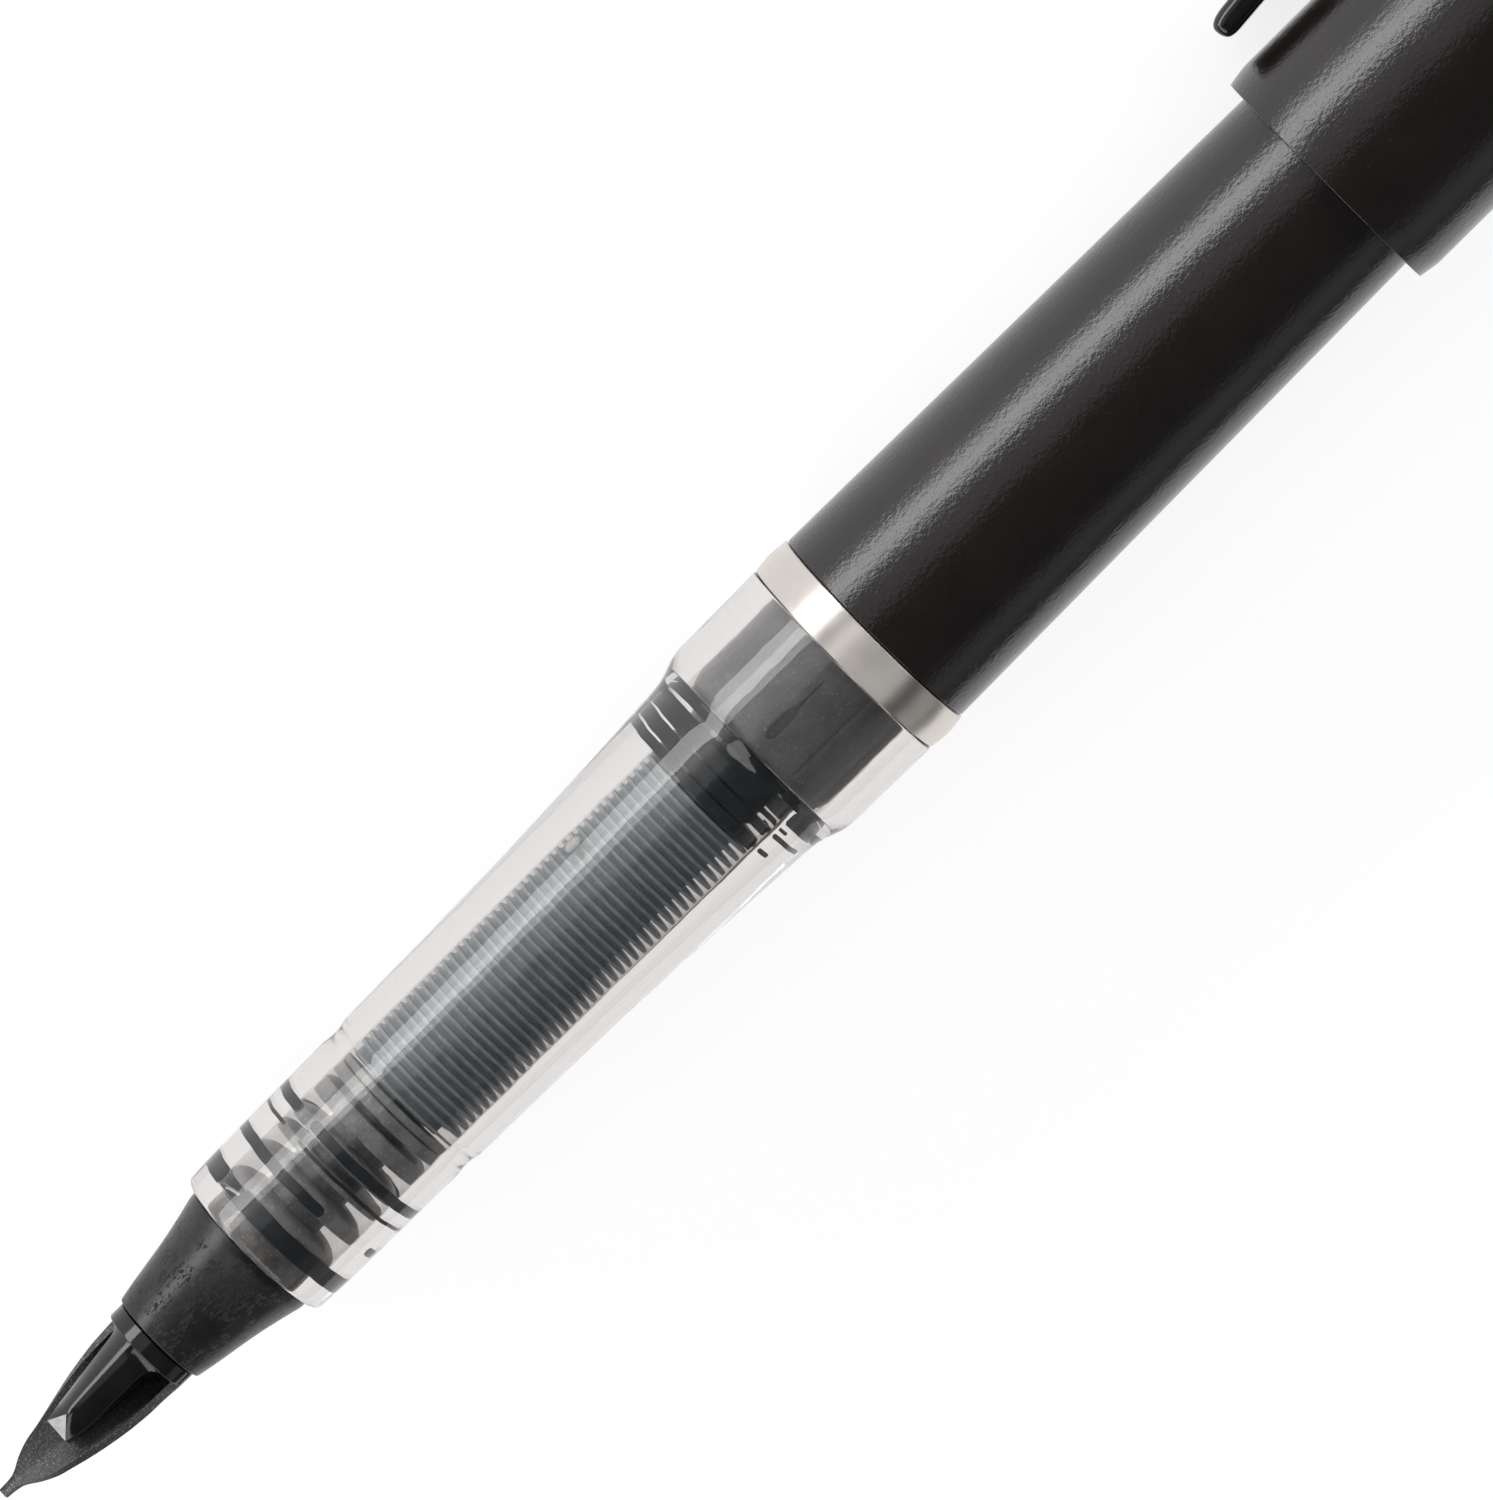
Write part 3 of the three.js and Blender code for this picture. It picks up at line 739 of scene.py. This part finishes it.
def fin(start):
    """One fin of the comb, thinner towards its rim."""
    end, taper, rim = start + FIN["thick"], FIN["taper"], COLLECTOR["disc"]
    outline = [(start, WICK_BORE), (start, FIN["flat"]), (start + taper, rim), (end - taper, rim),
               (end, FIN["flat"]), (end, WICK_BORE)]
    return turned(outline, 120)


def collector():
    c = COLLECTOR
    front = together(core(c["from"], c["comb"], c["core"]), *(disc(*row) for row in FRONT_DISCS))
    piece("collector_front_discs", front, head_finish, node="collector_head")

    # The spine is the fins' plastic painted darker, as painted shade in the gaps between the fins
    spine = core(c["comb"] + 0.02, c["base"] - 0.03, FIN["core"], FIN["flat"])
    piece("collector_spine", spine, spine_shade_finish, node="collector_comb")
    count = round((FIN["to"] - FIN["first"]) / FIN["pitch"])
    fins = [fin(FIN["first"] + k * FIN["pitch"]) for k in range(count)]
    piece("collector_fins", together(*fins), comb_finish, body="section")

    rear = together(core(c["base"], c["to"], c["rear_core"]), *(disc(*row) for row in REAR_DISCS))
    piece("collector_rear_discs", rear, rear_finish, node="collector_base")


def tank_socket():
    """The dark body in the clear collar, with two shallow grooves along it."""
    s = SOCKET
    grooves = ((57.5, 1.6), (-29.0, 0.8))   # (angle, spread in degrees)

    def section(angle):
        radius = s["radius"]
        for at, spread in grooves:
            away = (angle - at + 180) % 360 - 180
            radius -= s["groove"] * math.exp(-away ** 2 / (2 * spread ** 2))
        return [
            (s["from"], WICK_BORE), (s["from"], 3.9), (52.35, 4.1), (52.5, 4.32), (52.8, radius - 0.04),
            (53.1, radius), (57.9, radius), (s["to"] - s["edge"], radius), (s["to"], radius - s["edge"]),
            (s["to"], s["mouth"]), (s["floor"], s["mouth"]), (s["floor"], s["nipple"]),
            (s["nipple_to"], s["nipple"]), (s["nipple_to"], WICK_BORE),
        ]

    piece("socket_body", swept(section, steps=360), socket_finish, node="tank_socket")


# Ink on the inside of the clear wall, as (name, from, to, first angle, last angle).
INK_PATCHES = [
    ("ink_band_a", 18.42, 19.38, 58, 395),
    ("ink_band_b", 20.82, 21.42, -21, 118),
    ("ink_band_b_low", 20.86, 21.36, -98, -80),
    ("ink_band_b_back", 20.82, 21.42, 150, 235),
    ("ink_line_c", 22.72, 22.92, 55, 393),
    ("ink_band_d", 23.62, 24.2, 54, 395),
    ("ink_rear_a", 48.57, 49.08, -36, 150),
    ("ink_rear_b", 49.2, 50.0, -36, 170),
    ("ink_rear_c", 50.12, 51.42, -36, 200),
    ("ink_rear_d", 51.3, 51.76, -36, -9),
    ("ink_rear_collar", 51.72, 52.17, 0, 360),
    ("ink_rear_block", 50.66, 51.8, -118, -61),
    ("ink_dash_a", 48.7, 48.96, -75, -61),
    ("ink_dash_b", 49.7, 49.98, -112, -61),
    ("ink_dash_c", 50.18, 50.38, -72, -61),
]


def ink_patch(name, start, end, first, last):
    """A thin film of ink against the clear wall, with rounded ends and slightly wavy edges."""
    whole = last - first >= 360
    half = (end - start) / 2
    middle = (start + end) / 2
    floor, top = INK["floor"], SECTION_BORE + INK["into_wall"]
    corner = min(half, INK["corner"])
    round_off = math.degrees(corner / top)

    def section(angle):
        to_end = min(angle - first, last - angle)
        near = 1.0 if whole or to_end > round_off else to_end / round_off
        width = half - 0.95 * corner * (1 - math.sqrt(max(0.0, 1 - (1 - near) ** 2)))
        at = middle + INK["sway"] * math.sin(math.radians(5 * angle) + start)
        at += INK["ripple"] * math.sin(math.radians(13 * angle))
        return [(at - width, floor), (at - width, top), (at + width, top), (at + width, floor)]

    steps = max(16, round((last - first) / 2))
    piece(name, swept(section, first, last, steps), ink_film_finish, body="section")


# The smear of ink on the socket: its (place, half width in degrees), and its section's (radius, side).
SMEAR = [(53.05, 0.2), (53.2, 2.4), (53.5, 3.4), (54.6, 3.2), (55.0, 2.2), (55.4, 1.0), (57.0, 0.4)]
SMEAR_ANGLE = -1.2
SMEAR_SECTION = ((4.4, 1), (4.4, -1), (4.515, -1), (4.525, 0), (4.515, 1))


def socket_smear():
    """A thin drop-shaped smear that stands a little proud of the socket."""
    smear = faired(SMEAR, 5)
    vertices = []
    for along, spread in smear:
        for radius, side in SMEAR_SECTION:
            turn = math.radians(SMEAR_ANGLE + side * spread)
            vertices.append((along, radius * math.sin(turn), radius * math.cos(turn)))
    shape = (vertices, ring_faces(len(SMEAR_SECTION), len(smear), False))
    piece("socket_smear", shape, smear_finish, body="section")


# Ring and barrel

def trim_ring():
    r = RING
    crown = faired([(r["from"] + r["lip"], r["edge"]), ((r["from"] + r["to"]) / 2, r["bulge"]),
                    (r["to"] - r["lip"], r["edge"])], 8)
    outline = rounded([
        (r["from"], r["bore"]), (r["from"], r["edge"] - 0.01, 0.08), *crown,
        (r["to"], r["edge"] - 0.01, 0.08), (r["to"], r["bore"]),
    ])
    piece("ring_band", turned(outline, 240), metal_finish, node="trim_ring")


def barrel():
    b = BARREL
    outline = rounded([
        (b["from"], b["thread"], 0.08), (b["from"], b["front"], 0.12), (CAP["mouth"], b["middle"]),
        (b["to"], b["tail"], 0.05), (b["to"], b["rear_bore"]), (b["step"], b["rear_bore"]),
        (b["step"], b["step_bore"]), (b["thread_to"], b["bore"]), (b["thread_to"], b["thread"]),
    ])
    piece("barrel_tube", turned(outline), textured_finish, node="barrel")
    plug = TAIL_PLUG
    inner = plug["spigot"] - plug["wall"]
    seat = b["to"] + SEAM
    dome = faired([(-5.16, 128.7), (-5.09, 129.9), (-4.9, 130.55), (-4.5, 130.86), (-3.6, 130.96),
                   (-0.4, 131.0)])
    closed_end = rounded([
        (plug["from"], inner), (plug["from"], plug["spigot"], 0.1), (seat, plug["spigot"]),
        (seat, b["tail"], 0.06), *((along, -radius) for radius, along in dome), (plug["to"], 0.0),
        (seat, 0.0), (seat, inner),
    ])
    piece("barrel_end", turned(closed_end), textured_finish, node="barrel_tail_plug")


# Cap

def cap():
    c = CAP
    outline = rounded([
        (c["mouth"], c["lip_bore"], 0.08), (c["mouth"], c["lip"], 0.06),
        (c["mouth"] + c["lip_slope"], c["radius"], 0.3), (c["to"], c["radius"], 0.06), (c["to"], c["bore"]),
        (c["grip"], c["bore"], 0.3), (c["grip"] - c["grip_slope"], c["lip_bore"], 0.3),
    ])
    piece("cap_sleeve", turned(outline), textured_finish, node="cap_shell")
    n = CROWN
    seat, dish = c["to"] + SEAM, n["to"] - n["dish"]
    end_piece = rounded([
        (n["from"], n["sleeve"]), (n["from"], n["spigot"], 0.1), (seat, n["spigot"]),
        (seat, c["radius"], 0.06), (n["to"] - 0.1, c["radius"], n["chamfer"]), (n["to"], n["face"], 0.25),
        (dish, n["dish_radius"], 0.25), (dish, 0.0), (n["floor"], 0.0), (n["floor"], n["sleeve"]),
    ])
    crown = piece("cap_end_piece", turned(end_piece), textured_finish, node="cap_crown")
    cut_clip_slot(crown)


def cut_clip_slot(crown):
    """Cuts the slot that the clip's foot sits in."""
    gap, half = CLIP["gap"], CLIP["width"] / 2 + CLIP["gap"]
    low = (CLIP["foot_from"] - gap, CLIP["foot"] - gap, -half)
    high = (CLIP["foot_to"] + gap, CAP["radius"] + 1, half)
    work = bmesh.new()
    bmesh.ops.create_cube(work, size=1.0)
    for vertex in work.verts:
        vertex.co = [(low[i] + (vertex.co[i] + 0.5) * (high[i] - low[i])) * MM for i in range(3)]
    mesh = bpy.data.meshes.new("slot cutter")
    work.to_mesh(mesh)
    work.free()
    cutter = bpy.data.objects.new("slot cutter", mesh)
    bpy.context.scene.collection.objects.link(cutter)
    cutter.matrix_world = PEN
    cut = crown.modifiers.new("clip slot", "BOOLEAN")
    cut.operation = "DIFFERENCE"
    cut.solver = "EXACT"
    cut.object = cutter
    crown.modifiers.move(len(crown.modifiers) - 1, 0)
    bpy.context.view_layer.objects.active = crown
    bpy.ops.object.modifier_apply(modifier=cut.name)
    bpy.data.objects.remove(cutter)


def clip_outline():
    """The clip's side outline, as (along, distance from the pen's axis), from its tip round by its foot."""
    tip, top = CLIP["tip"], CLIP["top"]
    outline = [Vector((tip + 0.15, 8.35))]
    outline += bezier(outline[-1], (tip + 0.3, 8.1), (tip + 0.9, 8.14), 5)
    outline += [Vector((95.0, 8.27)), Vector((96.4, 8.36))]
    outline += bezier(outline[-1], (97.3, 8.4), (97.9, 7.75), 6)
    outline += bezier(outline[-1], (98.5, 6.98), (99.4, 6.97), 7)
    outline += bezier(outline[-1], (100.4, 6.98), (101.0, 7.8), 7)
    outline += bezier(outline[-1], (101.6, 8.62), (103.0, 8.72), 6)
    outline += bezier(outline[-1], (110.0, 9.05), (120.0, 9.05), 8)
    outline += [Vector((128.0, 9.05)), Vector((136.0, 9.05)), Vector((144.0, 9.05))]
    outline += bezier(outline[-1], (149.0, 9.0), (150.5, 7.8), 8)
    outline += bezier(outline[-1], (151.2, 7.15), (CLIP["foot_from"], 7.1), 6)
    outline += [Vector((CLIP["foot_from"], CLIP["foot"])), Vector((CLIP["foot_to"], CLIP["foot"]))]
    outline += [Vector((CLIP["foot_to"], 8.3))]
    outline += bezier(outline[-1], (CLIP["foot_to"], 9.6), (152.0, 9.9), 8)
    outline += bezier(outline[-1], (140.0, top), (126.0, top), 8)
    outline += bezier(outline[-1], (108.0, top), (96.0, 9.75), 10)
    outline += bezier(outline[-1], (95.0, 9.66), (tip + 1.1, 9.52), 3)
    outline += bezier(outline[-1], (tip, 9.4), (tip, 8.9), 6)
    outline += bezier(outline[-1], (tip, 8.6), (tip + 0.15, 8.35), 4)[:-1]
    return outline


def clip():
    """The clip's side outline, carried across its width with rounded edges."""
    outline = clip_outline()
    count = len(outline)
    inward = []
    for k in range(count):
        along = (outline[(k + 1) % count] - outline[k - 1]).normalized()
        inward.append(Vector((-along.y, along.x)))
    edge, half = CLIP["edge"], CLIP["width"] / 2
    turns = [math.pi / 2 * k / 5 for k in range(6)]
    layers = [(-half + edge * (1 - math.sin(t)), edge * (1 - math.cos(t))) for t in turns[::-1]]
    layers += [(-z, inset) for z, inset in layers[::-1]]
    vertices = []
    for z, inset in layers:
        vertices += [(*(point + side * inset), z) for point, side in zip(outline, inward)]
    piece("clip_arm", (vertices, ring_faces(count, len(layers), False)), gloss_black_finish, node="clip")


# Pieces that keep their CAD shape

def repaint(node, finish):
    """Gives a CAD piece one finish."""
    materials = frame["nodes"][node].data.materials
    materials.clear()
    materials.append(finish)


# Floor, light and camera

def floor():
    """A pale floor under the pen."""
    mesh = bpy.data.meshes.new("floor")
    reach = 3.0
    corners = [(-reach, -reach, 0), (reach, -reach, 0), (reach, reach, 0), (-reach, reach, 0)]
    mesh.from_pydata(corners, [], [(0, 1, 2, 3)])
    finish = Finish("pale floor", roughness=0.9, Specular_IOR_Level=0.1, Emission_Strength=0.8)
    finish.colour(finish.blend(finish.noise(0.02, 2.0), (0.33, 0.33, 0.33), (0.35, 0.35, 0.35)))
    finish.shader.inputs["Emission Color"].default_value = (1.0, 1.0, 1.0, 1.0)
    mesh.materials.append(finish.material)
    obj = bpy.data.objects.new("floor", mesh)
    bpy.context.scene.collection.objects.link(obj)


def softbox(name, direction, distance, size, radiance):
    """A rectangular light that faces the pen, placed in the pen's axes."""
    lamp = bpy.data.lights.new(name, "AREA")
    lamp.shape = "RECTANGLE"
    lamp.size, lamp.size_y = (s * MM for s in size)
    lamp.energy = radiance * math.pi * lamp.size * lamp.size_y
    obj = bpy.data.objects.new(name, lamp)
    bpy.context.scene.collection.objects.link(obj)
    away = Vector(direction).normalized()
    obj.location = PEN @ ((Vector(LIGHTS_AIM) + away * distance) * MM)
    obj.rotation_mode = "QUATERNION"
    obj.rotation_quaternion = (PEN.to_3x3() @ -away).to_track_quat("-Z", "Y")
    obj.visible_camera = False


def towards(angle):
    """The direction straight out from the pen at an angle round it."""
    turn = math.radians(angle)
    return (0.0, math.sin(turn), math.cos(turn))


def lights():
    """Softboxes, each with its direction, distance, size and radiance, and a dim world."""
    softbox("clip side strip", towards(51.5), 620, (1700, 240), 5.7)
    softbox("overhead panel", towards(21.5), 800, (900, 450), 0.5)
    softbox("far side panel", towards(-90.0), 700, (900, 300), 0.3)
    softbox("nib end softbox", (-0.85, -0.2, 0.49), 700, (860, 340), 2.4)
    softbox("cap end softbox", (0.85, -0.2, 0.49), 700, (860, 340), 2.4)
    world = bpy.data.worlds.new("studio")
    world.use_nodes = True
    world.node_tree.nodes["Background"].inputs["Color"].default_value = (0.1, 0.1, 0.1, 1.0)
    bpy.context.scene.world = world


def camera():
    """The camera, at the photo's angle."""
    data = bpy.data.cameras.new("camera")
    data.lens = CAMERA["lens"]
    data.clip_start, data.clip_end = 0.05, 20.0
    obj = bpy.data.objects.new("camera", data)
    bpy.context.scene.collection.objects.link(obj)
    back = (Vector(CAMERA["from"]) - Vector(CAMERA["at"])).normalized()
    roll = math.radians(CAMERA["roll"])
    right = Vector((math.sin(roll), math.cos(roll), 0.0)).cross(back).normalized()
    up = back.cross(right)
    turn = Matrix((right, up, back)).transposed()
    obj.matrix_world = PEN @ Matrix.Translation(Vector(CAMERA["from"]) * MM) @ turn.to_4x4()
    bpy.context.scene.camera = obj


camera()
floor()
lights()

nib_finish = nib_plastic()
gloss_black_finish = gloss_black()
# The feed's pale front facet is a painted reflection
facet_finish = painted_reflection_grey()
soft_black_finish = soft_black()
textured_finish = textured_black()
clear_finish = clear_plastic()
metal_finish = bright_metal()
ink_film_finish = ink_film()
head_finish = collector_plastic("collector head plastic", (0.42, 0.43, 0.44), (0.27, 0.288, 0.305))
comb_finish = collector_plastic("collector fin plastic", (0.43, 0.495, 0.54), (0.35, 0.41, 0.455))
# Painted shade: the spine is darker than the fins it belongs to
spine_shade_finish = collector_plastic("collector spine plastic, painted shade", (0.31, 0.36, 0.4), (0.25, 0.3, 0.335))
rear_finish = collector_plastic("collector base plastic", (0.075, 0.09, 0.102), (0.045, 0.055, 0.064))
socket_finish = collector_plastic("socket plastic", (0.26, 0.272, 0.287), (0.21, 0.222, 0.237), 0.45)
smear_finish = collector_plastic("ink smear", (0.165, 0.175, 0.187), (0.12, 0.13, 0.142))
# Painted light: the spigot's sleeve is lighter grey than the black housing it covers
spigot_painted_light_finish = collector_plastic("spigot plastic, painted light", (0.38, 0.38, 0.38), (0.2, 0.205, 0.21), 0.4)
# Painted reflection: the air bubble's whiteness is in its colour
bubble_reflection_finish = collector_plastic("trapped bubble, painted reflection", (0.85, 0.85, 0.84), (0.7, 0.7, 0.69), 0.3)

nib()
feed()
nib_housing()
grip_section()
bubble_mark()
collector()
tank_socket()
for patch in INK_PATCHES:
    ink_patch(*patch)
socket_smear()
trim_ring()
barrel()
cap()
clip()

repaint("ink_wick", fibre())
repaint("ink_tank", tank_plastic())
repaint("tank_plug", socket_finish)
repaint("tank_seal_ball", ball_plastic())
repaint("ink", liquid_ink())
repaint("cap_liner", socket_finish)

bpy.context.scene.view_settings.view_transform = "Standard"
